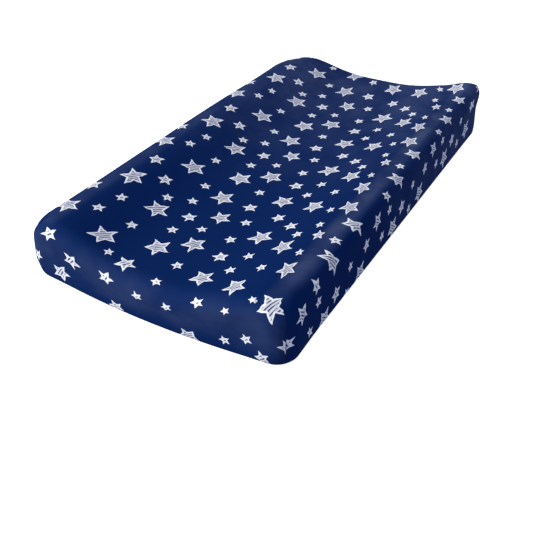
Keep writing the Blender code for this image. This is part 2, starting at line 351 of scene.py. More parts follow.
            # the underside repeats the top's grid, facing down
            base = self.top(0.0, loops[-1][0])
            shift = (len(loops) - 1) * n
            low = index + shift
            low[1:-1, 1:-1] = inner + len(verts) - inner[0, 0]
            base[..., 2] = under(base[..., 0], base[..., 1])
            verts = np.vstack([verts, base[1:-1, 1:-1].reshape(-1, 3)])
            low_faces, low_uvs = grid_faces(low, verts, down=True)
            faces, uvs = faces + low_faces, uvs + low_uvs
        if shape is not None:
            verts = shape(verts)
        return cloth_piece(name, verts, faces, uvs)


# ---- the printed cover ----
LARGE, MIDDLE, SMALL = 19.5, 12.0, 9.2
PRINT_W, TOP_REPEAT, SIDE_REPEAT = 365.0, 222.0, 239.0     # its width and repeats, in mm
END_W, END_REPEAT = 500.0, 150.0
WAIST = 0.465             # a star's inner corners, for tips at 1
STROKE = 4.1              # from one pen stroke to the next

# One repeat of the print as read off the photograph, in millimetres on the cloth: across, along,
# a star's size from centre to tip, how wide it is for its height, and degrees turned.
TOP_STARS = [
    (-191, -41, 13), (-184, -99, 20), (-158, -157, 14), (-157, -217, 21, 1.0, 33), (-146, -80, 9.5),
    (-138, -43, SMALL), (-119, -188, 12.5), (-107, -127, 20), (-93, -84, SMALL),
    (-93, -219, SMALL), (-88, -30, LARGE), (-67, -154, SMALL), (-60, -200, SMALL),
    (-42, -56, SMALL), (-40, -238, MIDDLE), (-34, -102, 20), (-27, -166, 20),
    (-6, -33, 8.5), (1, -215, 17), (6, -71, 19), (14, -123, SMALL), (24, -169, 12),
    (41, -209, SMALL), (45, -36, SMALL), (56, -80, 12), (62, -133, 18.5),
    (80, -181, 11.5), (83, -238, LARGE), (88, -105, SMALL, 0.9), (94, -67, SMALL, 0.9),
    (112, -202, 11.5, 0.95), (118, -141, 19, 0.85), (129, -93, SMALL, 0.8),
    (131, -38, 20, 0.75), (134, -225, SMALL, 0.85),
]
SIDE_STARS = [
    (149, -150, 9.5, 0.65), (154, -194, 9.5, 0.65), (161, -30, 9.5, 0.55),
    (165, -72, 21, 0.60), (165, -220, 14, 0.60), (172, -134, 21, 0.70),
    (195, -172, 15, 1.2), (190, -221, SMALL), (202, -258, 16.5, 1.2), (206, -70, 10.5),
    (225, -113, 15.5), (241, -151, 11.5), (242, -206, 8.5), (256, -252, 13),
    (275, -172, 18), (273, -288, 19), (232, -305, SMALL), (262, -92, SMALL),
    (279, -218, SMALL),
]
# The near end, below its rounded edge
END_STARS = [
    (-170, -395, 10.5, 1.35), (-129, -419, 13, 1.35, 18), (-152, -451, 15, 1.1),
    (-66, -410, 10, 1.45, 18), (-12, -417, 7.5, 1.3), (36, -417, 7.5, 1.25),
    (-50, -472, 14), (70, -474, 17), (81, -398, 7.5, 1.4), (124, -403, 5.5, 1.25),
    (124, -455, 8.5), (154, -441, 8.5), (176, -461, 11.5), (10, -387, 7, 1.25),
    (155, -382, 5, 1.2), (-48, -378, 14, 1.15, 18), (-81, -373, 7.5), (182, -383, 20),
    (204, -431, 11.5), (247, -381, 11.5), (-192, -432, 10),
]


def star_layer(net, cloth, stars, width, length):
    """Where each point lies within the star around it, and that star's size."""
    total = (0.0, 0.0, 0.0)
    for k, (u, v, size, *more) in enumerate(stars):
        wide = more[0] if more else 1.0
        tip = more[1] if len(more) > 1 else 24.0 if size > 14.6 else 42.0
        turn = math.radians(3.5 * math.sin(4.1 * k + 1.3) - tip)
        size = size + 0.013 * k
        near = net.vec("WRAP", cloth, (u + width / 2, v + length / 2, 1.0),
                       (u - width / 2, v - length / 2, -1.0))
        place = net.vec("SUBTRACT", near, (u, v, -size))
        place = net.vec("MULTIPLY", place, (1.0 / (size * wide), 1.0 / size, 1.0))
        turned = net.node("VectorRotate", rotation_type="Z_AXIS")
        net.put(turned.inputs["Vector"], place)
        turned.inputs["Angle"].default_value = -turn
        local = turned.outputs[0]
        flat = net.vec("MULTIPLY", local, (1.0, 1.0, 0.0))
        inside = net.math("LESS_THAN", net.vec("LENGTH", flat, out=1), 1.16)
        total = net.vec("ADD", net.scaled(local, inside), total)
    return total


def choose(net, chance, a, b):
    pick = net.node("Mix", data_type="VECTOR")
    net.put(pick.inputs[0], chance)
    net.put(pick.inputs[4], a)
    net.put(pick.inputs[5], b)
    return pick.outputs[1]


def within(net, value, low, high):
    return net.mul(net.math("GREATER_THAN", value, low), net.math("LESS_THAN", value, high))


def zone(net, u, v, below, *spans):
    """1 where v is under below and u lies within one of the spans."""
    low = net.math("LESS_THAN", v, below)
    across = within(net, u, *spans[0])
    for span in spans[1:]:
        across = net.math("MAXIMUM", across, within(net, u, *span))
    return net.mul(low, across)


def near_end(net, u, v):
    """1 where the near end's own stars take over; its edge goes round single stars."""
    below = net.mul(net.math("LESS_THAN", v, -381.0), net.math("LESS_THAN", u, 213.0))
    shelf = zone(net, u, v, -363.0, (-92.0, 42.0), (205.0, 212.0))
    corners = net.math("MAXIMUM", zone(net, u, v, -345.0, (147.0, 205.0)),
                       zone(net, u, v, -357.0, (-176.0, -139.0)))
    wrapped = zone(net, u, v, -362.0, (228.0, 268.0))
    return net.math("MAXIMUM", net.math("MAXIMUM", below, shelf),
                    net.math("MAXIMUM", corners, wrapped))


def star_spot(net, cloth):
    """The star around each point, from the list that holds there."""
    u, v, _ = net.split(cloth)
    at_end = near_end(net, u, v)
    side = star_layer(net, cloth, SIDE_STARS, PRINT_W, SIDE_REPEAT)
    side_star = net.mul(net.math("GREATER_THAN", net.split(side)[2], 1.0),
                        net.math("GREATER_THAN", u, 141.0))
    at_side = net.math("MAXIMUM", side_star, net.math("GREATER_THAN", u, 148.5))
    spot = choose(net, at_side, star_layer(net, cloth, TOP_STARS, PRINT_W, TOP_REPEAT), side)
    return choose(net, at_end, spot, star_layer(net, cloth, END_STARS, END_W, END_REPEAT))


def star_gap(net, x, y, size, chance):
    """Millimetres to the outline, negative inside; it wanders, as if each was drawn by hand."""
    place = net.join(x, y, net.mul(chance, 37.0))
    wobble = net.noise(place, 1.5, 1.0, 0.5, out=1)
    shift = net.scaled(net.vec("SUBTRACT", wobble, (0.5, 0.5, 0.5)), 0.30)
    dx, dy, _ = net.split(net.vec("ADD", net.join(x, y), shift))
    radius = net.math("SQRT", net.add(net.mul(dx, dx), net.mul(dy, dy)))
    angle = net.math("PINGPONG", net.math("ARCTAN2", dx, dy), math.pi / 5)
    nx, ny = 1.0 - WAIST * math.cos(math.pi / 5), WAIST * math.sin(math.pi / 5)
    norm = math.hypot(nx, ny)
    px = net.mul(radius, net.math("SINE", angle))
    py = net.mul(radius, net.math("COSINE", angle))
    gap = net.add(net.mul(px, nx / norm), net.mul(net.sub(py, 1.0), ny / norm))
    return net.mul(gap, size)


def pen_fill(net, x, y, size, chance):
    """How white the inside is: pen strokes that leave uneven slits of ground colour."""
    lean = net.math("MULTIPLY_ADD", chance, 0.45, -0.52)
    cos, sin = net.math("COSINE", lean), net.math("SINE", lean)
    across = net.add(net.mul(x, cos), net.mul(y, sin))
    along = net.sub(net.mul(y, cos), net.mul(x, sin))
    drift = net.noise(net.join(net.mul(across, 1.5), net.mul(along, 0.7), net.mul(chance, 91.0)),
                      1.4, 1.0)
    pen = net.math("MULTIPLY_ADD", drift, 2.4, net.mul(across, size))
    stroke = net.math("ABSOLUTE", net.sub(net.math("FRACT", net.math("DIVIDE", pen, STROKE)), 0.5))
    weight = net.noise(net.join(net.mul(across, 4.0), along, net.mul(chance, 17.0)), 1.9, 2.0)
    slit = net.ramp(net.sub(stroke, net.math("MULTIPLY_ADD", weight, 0.50, -0.065)), 0.04, -0.04)
    thin = net.noise(net.join(net.mul(across, 26.0), along, chance), 1.5, 1.0)
    dense = net.ramp(size, 9.0, 19.0, 0.94, 0.78)
    return net.mul(net.mul(dense, net.ramp(thin, 0.25, 0.65, 0.80, 1.05)),
                   net.sub(1.0, net.mul(slit, 0.95)))


def star_print(net, cloth):
    """How white the print is: sketched stars with an outline and hatching inside."""
    x, y, size = net.split(star_spot(net, cloth))
    own = net.node("TexWhiteNoise", noise_dimensions="1D")
    net.put(own.inputs["W"], size)
    chance = own.outputs[0]
    gap = star_gap(net, x, y, size, chance)
    is_star = net.math("GREATER_THAN", size, 1.0)
    soft = net.noise(cloth, 0.9, 1.0, 0.6)
    rough_gap = net.add(gap, net.mul(net.sub(soft, 0.5), 0.7))
    inside = net.ramp(rough_gap, 0.10, -0.15)
    line = net.ramp(net.math("ABSOLUTE", net.add(rough_gap, 0.95)), 1.15, 0.85)
    pattern = net.math("MAXIMUM", line, pen_fill(net, x, y, size, chance))
    return net.mul(net.mul(pattern, inside), is_star)


def painted_sheen(net, u, v, cloud):
    """Painted sheen: the navy is lightened in soft patches along the rims' edges, at the near end and
    at the far end of the top, where the highlight falls.
    """
    edge_u = net.math("ABSOLUTE", net.sub(net.math("ABSOLUTE", u), 181.0))
    along_top = net.ramp(net.math("ABSOLUTE", v), 402.0, 362.0, 0.15, 1.0)
    ridge = net.mul(net.mul(net.ramp(edge_u, 20.0, 3.0), along_top),
                    net.ramp(u, -100.0, 100.0, 0.6, 1.2))
    ends = net.ramp(net.math("ABSOLUTE", net.add(v, 424.0)), 55.0, 5.0, 0.0, 0.55)
    far = net.ramp(v, -200.0, 430.0)
    # painted sheen: how much highlight each place gets, more on the right ridge, the near end and the
    # far end
    sheen_reach = net.math("MAXIMUM", ends, net.math("MAXIMUM", net.mul(far, 0.85), net.mul(
        ridge, net.math("MULTIPLY_ADD", far, 0.6, 0.8))))
    return net.mul(net.math("MULTIPLY_ADD", sheen_reach, 0.74, 0.01),
                   net.ramp(cloud, 0.30, 0.72, 0.25, 1.0))


def hem_folds(net):
    """Underneath, the hem is gathered by the elastic and sewn down in two rows."""
    flat_u, flat_v, _ = net.split(net.uv("cloth"))
    folds = 0.0
    for outwards, along, start in ((flat_u, flat_v, 290.0), (flat_v, flat_u, 470.0)):
        out = net.sub(net.math("ABSOLUTE", outwards), start)
        wander = net.noise(net.join(along, net.mul(out, 0.25)), 0.045, 1.0)
        wave = net.math("SINE", net.add(net.mul(along, 2 * math.pi / GATHER),
                                        net.mul(wander, 14.0)))
        gather = net.mul(wave, net.ramp(out, 4.0, 52.0))
        for row in (46.5, 49.0):
            sewn = net.ramp(net.math("ABSOLUTE", net.sub(out, row)), 0.7, 0.1)
            gather = net.sub(gather, net.mul(sewn, 0.8))
        folds = net.add(gather, folds)
    return folds


def cover_material():
    net = Net("cover_print")
    cloth = net.uv("print")
    white = star_print(net, cloth)
    u, v, _ = net.split(cloth)
    cloud = net.noise(cloth, 0.013, 3.0, 0.6)
    fine = net.noise(cloth, 0.9, 2.0, 0.6)
    painted_sheen_amount = painted_sheen(net, u, v, cloud)
    # painted sheen: the navy turns pale grey-blue where the highlight is painted
    navy = net.mix(painted_sheen_amount, (*NAVY, 1.0), (0.062, 0.087, 0.174, 1.0))
    navy = net.mix(net.mul(fine, 0.20), navy, (0.008, 0.024, 0.15, 1.0))
    printed = net.mix(net.ramp(fine, 0.2, 0.8), (0.84, 0.85, 0.90, 1.0), (0.93, 0.94, 0.97, 1.0))
    net.shader(Base_Color=net.mix(white, navy, printed), Roughness=0.95, Specular_IOR_Level=0.02,
               Sheen_Weight=0.010, Sheen_Roughness=0.45, Sheen_Tint=(0.80, 0.86, 1.0, 1.0))
    # jersey: columns of small loops
    column = net.wave(u, KNIT_COLUMN)
    course = net.math("SINE", net.add(net.mul(v, 2 * math.pi / KNIT_COURSE),
                                      net.mul(column, 0.9)))
    knit = net.add(net.mul(column, 0.5), net.mul(course, 0.5))
    height = net.add(knit, net.mul(fine, 1.5))
    hem = net.bump(hem_folds(net), 0.0011, 0.9)
    net.shader(Normal=net.bump(height, 0.00012, 0.6, hem))
    return net.mat


def cover_back():
    """The jersey's unprinted side."""
    net = Net("cover_knit_back")
    cloth = net.uv("print")
    u, v, _ = net.split(cloth)
    fine = net.noise(cloth, 0.9, 2.0, 0.6)
    cloud = net.noise(cloth, 0.02, 2.0, 0.5)
    tone = net.ramp(cloud, 0.3, 0.7)
    navy = net.mix(tone, (0.010, 0.030, 0.115, 1.0), (0.018, 0.042, 0.140, 1.0))
    net.shader(Base_Color=net.mix(net.mul(fine, 0.4), navy, (0.035, 0.060, 0.170, 1.0)),
               Roughness=0.95, Specular_IOR_Level=0.03)
    purl = net.add(net.wave(v, KNIT_COURSE), net.mul(net.wave(u, KNIT_COLUMN), 0.4))
    net.shader(Normal=net.bump(purl, 0.00012, 0.7))
    return net.mat


def hem_tuck(shell, last):
    """The cloth turns under the pad and gathers towards the elastic."""
    made = []
    base, run = last
    n = len(base)
    for k in range(1, 5):
        turn = math.radians(90) * k / 4
        inset = HEM_R * (1 - math.cos(turn))
        p = shell.plan(inset, CORNER_R - inset)
        z = HEM_R * (1 - math.sin(turn))
        made.append((np.column_stack([p, np.full(n, z)]), run + HEM_R * turn))
    run = made[-1][1]
    step = np.arange(n)
    fold = np.sin(2 * np.pi * step / 5.9 + 1.7 * np.sin(step * 2 * np.pi * 9 / n)
                  + 1.1 * np.sin(step * 2 * np.pi * 23 / n))
    for k in range(1, 15):
        s = k / 14
        inset = HEM_R + (HEM_TUCK - HEM_R) * s
        p = shell.plan(inset, CORNER_R + 0.6 * inset * s)
        p = p * (1.0 + 0.0035 * s * fold)[:, None]
        z = 0.0001 + 0.00045 * s ** 0.7 * (0.5 + 0.5 * fold)
        made.append((np.column_stack([p, z]), run + (HEM_TUCK - HEM_R) * s))
    return made


def settle(verts):
    """A soft cover over foam: slight unevenness, and every corner filled its own way."""
    x, y, z = verts.T
    out = verts.copy()
    edge = np.clip(z / 0.03, 0, 1)
    ripple = (0.5 * np.sin(x * 31 + 1.2) * np.sin(y * 17 + 0.4)
              + 0.3 * np.sin(x * 47 - y * 23 + 2.0) + 0.2 * np.sin(x * 19 + y * 41))
    out[:, 2] += RIPPLE * ripple * edge
    # the left rim and the far end of the cradle stand a little prouder
    left = smooth(-x, 0.10, 0.18) * (1 - 1.9 * smooth(y, 0.00, 0.26))
    far = smooth(y, 0.28, 0.40) * (1 - smooth(np.abs(x + 0.02), 0.09, 0.18))
    out[:, 2] += (smooth(z, 0.045, 0.085) * (LEFT_RIM_RISE * left)
                  + smooth(z, 0.03, 0.06) * FAR_RISE * far)
    # the right shoulder is fuller than a plain round
    turn = np.arcsin(np.clip((z - RIM_HEIGHT + RIM_R) / RIM_R, 0.0, 1.0))
    full = SHOULDER * np.sin(2 * turn) ** 2 * (x > HALF_W - WALL_LEAN - RIM_R - 0.0001)
    full *= 1 - smooth(np.abs(y), HALF_L - 0.11, HALF_L - 0.04)
    out[:, 0] += full
    out[:, 2] += full
    for sx, sy, low, high, lift in CORNERS:
        reach = np.hypot((x - sx * HALF_W) / CORNER_X, (y - sy * HALF_L) / CORNER_Y)
        near = 1.0 - smooth(reach, 0.0, 1.0)
        belly = smooth(z, -0.012, 0.028) * (1.0 - 0.85 * smooth(z, 0.060, 0.092))
        push = near * (low * belly + high * smooth(z, 0.050, 0.085))
        # soft creases running down from the corner
        run = sx * (x - sx * HALF_W) - sy * (y - sy * HALF_L)
        crease = np.sin(run * 172 + 40 * z) * np.sin(run * 67 - 25 * z + sx + 2 * sy)
        push += CREASE * crease * near * smooth(z, 0.004, 0.030) * (1 - smooth(z, 0.060, 0.088))
        out[:, 0] += sx * 0.74 * push
        out[:, 1] += sy * 0.68 * push
        out[:, 2] += lift * near * smooth(z, 0.040, 0.085)
    return out


def print_layer(obj):
    """Second UV layer "print": the cloth's own coordinates, unevenly stretched when pulled on."""
    mesh = obj.data
    uv = np.zeros(2 * len(mesh.loops), np.float32)
    mesh.uv_layers["cloth"].data.foreach_get("uv", uv)
    u, v = uv.reshape(-1, 2).T.astype(float) * 1000.0
    valley = 0.15 + 0.85 * smooth(u, -120, 0) * (1 - smooth(u, 105, 175))
    far = valley * 35.0 * np.clip((v - 170.0) / 165.0, 0, 1.3) ** 1.5
    near_left = 14.0 * smooth(-u, 85, 165) * smooth(-v, 190, 330) * (1 - smooth(-v, 362, 380))
    far_left = 11.0 * smooth(-u, 110, 160) * smooth(v, -20, 230)
    shear = 0.045 * smooth(u, 185, 218) * (v + 140.0) * (1 - smooth(-v, 325, 345))
    side = 0.4 * (far + 0.4 * far_left)
    flat = np.column_stack([u + side + shear, v - far + near_left - far_left])
    layer = mesh.uv_layers.new(name="print")
    layer.data.foreach_set("uv", (flat / 1000.0).astype(np.float32).ravel())


shell = Shell()
cover = shell.build("cover_fabric", 0.0, HEM_R, hem_tuck, settle)
print_layer(cover)
cover.data.materials.append(cover_material())
cover.data.materials.append(cover_back())
body_cloth = cover.vertex_groups.new(name="body_cloth")
for vert in cover.data.vertices:
    # the hem is thinner, where it lies pressed under the pad
    body_cloth.add([vert.index], 1.0 if vert.co.z > 0.0009 else 0.55, "REPLACE")
solid = thicken(cover, COVER_T)
solid.vertex_group = "body_cloth"
solid.material_offset = 1
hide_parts("cover_panel", "cover_hem")
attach(cover, "cover")


# ---- shapes of the smaller pieces ----
def new_piece(name, verts, faces, uvs, mat, body, slot, *nodes):
    return dress(cloth_piece(name, verts, faces, uvs), mat, body, slot, *nodes)


def tube(line, radius, ref, sides=8, closed=False, flat=1.0):
    """Verts, faces and uvs of a tube round a line; ref keeps it from turning."""
    line = np.asarray(line, float)
    n = len(line)
    if closed:
        ahead = np.roll(line, -1, 0) - np.roll(line, 1, 0)
    else:
        ahead = np.gradient(line, axis=0)
    ahead /= np.linalg.norm(ahead, axis=1)[:, None]
    side = np.cross(ahead, np.broadcast_to(np.asarray(ref, float), line.shape))
    side /= np.linalg.norm(side, axis=1)[:, None]
    up = np.cross(side, ahead)
    radius = np.broadcast_to(np.asarray(radius, float), (n,))[:, None, None]
    turn = np.linspace(0, 2 * np.pi, sides, endpoint=False)
    ring = (side[:, None] * np.cos(turn)[None, :, None]
            + flat * up[:, None] * np.sin(turn)[None, :, None])
    verts = (line[:, None] + radius * ring).reshape(-1, 3)
    run = np.concatenate([[0], np.cumsum(np.linalg.norm(np.diff(line, axis=0), axis=1))])
    faces, uvs = [], []
    girth = 2 * np.pi * float(radius.max())
    for i in range(n if closed else n - 1):
        j = (i + 1) % n
        end = run[i + 1] if i + 1 < n else run[i] + np.linalg.norm(line[0] - line[-1])
        for k in range(sides):
            m = (k + 1) % sides
            faces.append((i * sides + k, i * sides + m, j * sides + m, j * sides + k))
            a, b = girth * k / sides, girth * (k + 1) / sides
            uvs += [(a, run[i]), (b, run[i]), (b, end), (a, end)]
    if not closed:
        for ring_start, order in ((0, -1), ((n - 1) * sides, 1)):
            cap = [ring_start + k for k in range(sides)][::order]
            faces.append(cap)
            uvs += [(0.0, 0.0)] * sides
    return verts, faces, uvs


def sheet_grid(xs, ys, height):
    """Flat grid of cloth over xs and ys at height(x, y), facing up."""
    verts = [(x, y, height(x, y)) for y in ys for x in xs]
    index = np.arange(len(verts)).reshape(len(ys), len(xs))
    return verts, *grid_faces(index, verts)


# ---- finishes ----
def plain(name, colour, rough, spec=0.4, metal=0.0):
    net = Net(name)
    net.shader(Base_Color=(*colour, 1.0), Roughness=rough, Specular_IOR_Level=spec, Metallic=metal)
    return net


def mottle(net, place, scale, dark, light):
    tone = net.ramp(net.noise(place, scale, 3.0, 0.6), 0.3, 0.7)
    net.shader(Base_Color=net.mix(tone, (*dark, 1.0), (*light, 1.0)))


def foam_finish():
    net = plain("foam_open_cell", (0.86, 0.80, 0.66), 0.95, 0.1)
    cloth = net.uv("cloth")
    mottle(net, cloth, 0.02, (0.80, 0.72, 0.55), (0.88, 0.82, 0.68))
    cell = net.node("TexVoronoi")
    net.put(cell.inputs["Vector"], cloth)
    cell.inputs["Scale"].default_value = 0.9
    net.shader(Normal=net.bump(cell.outputs["Distance"], 0.0006, 0.8))
    return net.mat


def quilt_lines(net, cloth):
    """Distance in millimetres to the nearest quilting line, and how far along it."""
    u, v, _ = net.split(cloth)
    found = []
    for sign in (1.0, -1.0):
        across = net.add(net.mul(u, sign * QUILT_COS), net.mul(v, QUILT_SIN))
        along = net.sub(net.mul(v, QUILT_COS), net.mul(u, sign * QUILT_SIN))
        found.append((net.math("PINGPONG", across, QUILT / 2), along))
    return found


def liner_finish():
    net = plain("liner_vinyl_quilted", (0.93, 0.93, 0.92), 0.34, 0.45)
    cloth = net.uv("cloth")
    mottle(net, cloth, 0.012, (0.88, 0.885, 0.88), (0.95, 0.95, 0.945))
    grain = net.node("TexVoronoi")
    net.put(grain.inputs["Vector"], cloth)
    grain.inputs["Scale"].default_value = 0.75
    total = net.mul(grain.outputs["Distance"], 0.12)
    for gap, along in quilt_lines(net, cloth):
        stitch = net.math("GREATER_THAN", net.math("FRACT", net.math("DIVIDE", along, 3.4)), 0.22)
        thread = net.mul(net.ramp(gap, 0.55, 0.25), stitch)
        total = net.add(total, net.mul(thread, 0.9))
        total = net.sub(total, net.ramp(gap, 2.2, 0.0, 0.0, 1.3))
    net.shader(Normal=net.bump(total, 0.0004, 0.7))
    return net.mat


def woven(name, dark, light, pitch_u, pitch_v, depth, rough=0.85, twill=0.0, spec=0.2):
    """Cloth of crossing threads, pitch in millimetres; twill slants the ribs."""
    net = plain(name, light, rough, spec)
    cloth = net.uv("cloth")
    u, v, _ = net.split(cloth)
    lean = net.math("MULTIPLY_ADD", v, twill, u)
    ribs, picks = net.wave(lean, pitch_u), net.wave(v, pitch_v)
    height = net.add(ribs, net.mul(picks, 0.6))
    mottle(net, cloth, 0.05, dark, light)
    net.shader(Normal=net.bump(height, depth, 0.8))
    return net.mat


def base_finish():
    net = plain("base_non_slip", (0.80, 0.81, 0.82), 0.78, 0.25)
    cloth = net.uv("cloth")
    mottle(net, cloth, 0.03, (0.70, 0.71, 0.73), (0.80, 0.81, 0.82))
    u, v, _ = net.split(cloth)
    # grip dots in staggered rows
    half = GRIP_DOTS / 2
    row = net.math("FLOOR", net.math("DIVIDE", v, GRIP_DOTS))
    odd = net.mul(net.math("PINGPONG", row, 1.0), half)
    du = net.sub(net.math("FLOORED_MODULO", net.add(u, odd), GRIP_DOTS), half)
    dv = net.sub(net.math("FLOORED_MODULO", v, GRIP_DOTS), half)
    far = net.math("SQRT", net.add(net.mul(du, du), net.mul(dv, dv)))
    net.shader(Normal=net.bump(net.ramp(far, 1.25, 0.7), 0.0005, 0.9))
    return net.mat


def metal_finish():
    net = plain("zip_nickel", (0.62, 0.62, 0.64), 0.28, 0.5, 1.0)
    place = net.node("TexCoord").outputs["Object"]
    brushed = net.noise(net.vec("MULTIPLY", place, (900.0, 9000.0, 9000.0)), 1.0, 2.0)
    net.shader(Roughness=net.ramp(brushed, 0.3, 0.7, 0.22, 0.42))
    net.shader(Normal=net.bump(brushed, 0.00002, 0.4))
    return net.mat


# ---- the pad inside ----
BASE_Z, BASE_T = 0.0024, 0.0012
PIPING_INSET, PIPING_R, PIPING_Z = 0.0050, 0.0018, 0.0056
BASE_INSET = PIPING_INSET + PIPING_R + 0.0004
LINER_IN, LINER_T, FOAM_IN = 0.0016, 0.0008, 0.0032
ZIP_X, ZIP_HALF = -0.1020, 0.2400
SLIT_X, SLIT_Y = 0.0060, ZIP_HALF + 0.0080     # half the base cloth's opening for the zip


def foam_foot(shell, last):
    """The foam's lower edge, drawn in to its flat underside."""
    made = []
    for inset, z in ((0.0080, 0.0088), (0.0084, 0.0070), (0.0086, 0.0040)):
        p = shell.plan(inset, CORNER_R - inset)
        made.append((np.column_stack([p, np.full(len(p), z)]), last[1] + 0.0100 - z))
    return made


def foam_under(x, y):
    """Flat underneath, with a shallow groove over the zip."""
    groove = ((1 - smooth(np.abs(x - ZIP_X), 0.0205, 0.0260))
              * (1 - smooth(np.abs(y), 0.2640, 0.2720)))
    return 0.0041 + 0.0042 * groove


foam = Shell(ends=60, sides=110, wall=8).build("foam_block", FOAM_IN, 0.0102, foam_foot, settle,
                                               foam_under)
dress(foam, foam_finish(), "pad", "foam", "foam_core")


def quilted(verts):
    """The vinyl is stitched down along slanting lines and puffs up between them."""
    x, y, z = verts.T
    out = settle(verts)
    sag = np.zeros(len(verts))
    for sign in (1.0, -1.0):
        across = 1000.0 * (QUILT_COS * sign * x + QUILT_SIN * y)
        gap = np.abs((across + QUILT / 2) % QUILT - QUILT / 2)
        sag = np.maximum(sag, 1.0 - smooth(gap, 0.0, 11.0))
    out[:, 2] -= 0.0007 * sag * smooth(z, 0.055, 0.063)
    return out


liner = Shell(ends=112, sides=216, rim=10, wall=13).build("liner_shell", LINER_IN, 0.0081, None,
                                                          quilted)
thicken(liner, LINER_T)
dress(liner, liner_finish(), "pad", "liner_vinyl", "liner_top")


def base_panel():
    """Non-slip base, sagging through the hem's opening to the floor, slit for the zip."""
    plan = Shell(arc=4, ends=56, sides=110)
    edge = plan.plan(BASE_INSET, CORNER_R - PIPING_INSET)
    ring = np.column_stack([edge, np.full(len(edge), BASE_Z)])
    p = plan.top(0.0, ring)
    x, y = p[..., 0], p[..., 1]
    sag = (smooth(x, -0.088, -0.072) * (1 - smooth(x, 0.122, 0.138))
           * (1 - smooth(np.abs(y), 0.308, 0.322)))
    p[..., 2] = BASE_Z * (1 - sag)
    mesh = bmesh.new()
    layer = mesh.loops.layers.uv.new("cloth")
    made = [mesh.verts.new(v) for v in p.reshape(-1, 3)]
    index = np.arange(len(made)).reshape(p.shape[:2])
    # facing down: this is the side seen from below
    for face in grid_faces(index, p.reshape(-1, 3), down=True)[0]:
        mesh.faces.new([made[k] for k in face])
    for at, way in (((ZIP_X - SLIT_X, 0, 0), (1, 0, 0)), ((ZIP_X + SLIT_X, 0, 0), (1, 0, 0)),
                    ((0, -SLIT_Y, 0), (0, 1, 0)), ((0, SLIT_Y, 0), (0, 1, 0))):
        bmesh.ops.bisect_plane(mesh, geom=mesh.verts[:] + mesh.edges[:] + mesh.faces[:], dist=1e-6,
                               plane_co=at, plane_no=way)
    slit = [f for f in mesh.faces if abs(f.calc_center_median().x - ZIP_X) < SLIT_X
            and abs(f.calc_center_median().y) < SLIT_Y]
    bmesh.ops.delete(mesh, geom=slit, context="FACES")
    for f in mesh.faces:
        f.smooth = True
        for corner in f.loops:
            corner[layer].uv = corner.vert.co.xy
    data = bpy.data.meshes.new("base_cloth")
    mesh.to_mesh(data)
    mesh.free()
    return put_in("base_cloth", data)


base = base_panel()
thicken(base, BASE_T)
dress(base, base_finish(), "pad", "liner_base_fabric", "liner_base")

ring = Shell(arc=10, ends=90, sides=170).plan(PIPING_INSET, CORNER_R - PIPING_INSET)
line = np.column_stack([ring, np.full(len(ring), PIPING_Z)])
new_piece("piping_cord", *tube(line, PIPING_R, (0, 0, 1), 12, True),
          woven("piping_vinyl_grain", (0.86, 0.86, 0.85), (0.93, 0.93, 0.92), 1.9, 0.9, 0.00005,
                0.4, 0.4, 0.45), "pad", "piping_vinyl", "liner_piping")

# ---- zip ----
tape_mat = woven("zip_tape_twill", (0.80, 0.80, 0.79), (0.90, 0.90, 0.89), 0.9, 0.7, 0.00012, 0.85,
                 0.6)
coil_mat = plain("zip_coil_nylon", (0.90, 0.90, 0.88), 0.38, 0.5).mat
PITCH, TURN_STEPS = 0.0016, 10
TAPE_IN, TAPE_W, TAPE_L, TAPE_Z, TAPE_T = 0.00065, 0.01535, 0.5, 0.0044, 0.0005


def tape_height(x, y):
    return TAPE_Z + 0.00012 * math.sin(y * 61 + 9 * x) * math.sin(x * 190)


for side, sign in (("left", -1.0), ("right", 1.0)):
    xs = [ZIP_X + sign * (TAPE_IN + TAPE_W * k / 12) for k in range(13)]
    ys = [TAPE_L * (k / 100 - 0.5) for k in range(101)]
    tape = new_piece("tape_" + side, *sheet_grid(sorted(xs), ys, tape_height), tape_mat, "pad",
                     "zip_tape", "zip_tape_" + side)
    thicken(tape, TAPE_T)
    turns = int(2 * (ZIP_HALF - 0.0006) / PITCH)
    t = np.arange(turns * TURN_STEPS + 1) / TURN_STEPS
    start = -ZIP_HALF + 0.0005 + (0.5 * PITCH if sign > 0 else 0.0)
    angle = 2 * np.pi * t
    coil = np.column_stack([
        ZIP_X + sign * (0.00171 - 0.00104 * np.cos(angle)),
        np.minimum(start + PITCH * t + 0.00018 * np.sin(2 * angle), ZIP_HALF - 0.0003),
        0.00326 + 0.00018 * np.sin(angle)])
    new_piece("coil_" + side, *tube(coil, 0.00027, (0, 1, 0.15), 6), coil_mat, "pad",
              "zip_coil_plastic", "zip_coil_" + side)

# ---- on the cover ----
ELASTIC_INSET, ELASTIC_W, ELASTIC_Z = 0.0580, 0.0060, 0.00195
LABEL_W, LABEL_L, LABEL_INSET, LABEL_Y, LABEL_Z = 0.032, 0.042, 0.016, -0.220, 0.00155

thread = plain("navy_thread", (0.004, 0.015, 0.075), 0.85, 0.1).mat
columns = {"seam_near_left": 0, "seam_near_right": shell.row,
           "seam_far_right": shell.row + shell.col, "seam_far_left": 2 * shell.row + shell.col}
for name, column in columns.items():
    points = []
    for k in range(3, shell.rim + shell.wall + 1):
        co = cover.data.vertices[k * shell.count + column].co
        if co.z > 0.0105:
            points.append(co.copy())
    fine = []
    for a, b in zip(points, points[1:]):
        steps = max(2, round((b - a).length / 0.00045))
        fine += [a.lerp(b, k / steps) for k in range(steps)]
    away = Vector((math.copysign(1, fine[0].x), math.copysign(1, fine[0].y), 0)).normalized()
    line = np.array([p + 0.00025 * away + Vector((0, 0, 0.0002)) for p in fine])
    # overlocked: a small bead every 1.8 mm
    beads = 0.00038 + 0.00010 * np.abs(np.sin(np.arange(len(line)) * math.pi / 4))
    new_piece(name + "_thread", *tube(line, beads, (-away.y, away.x, 0), 8), thread, "cover",
              "seam_thread", name)


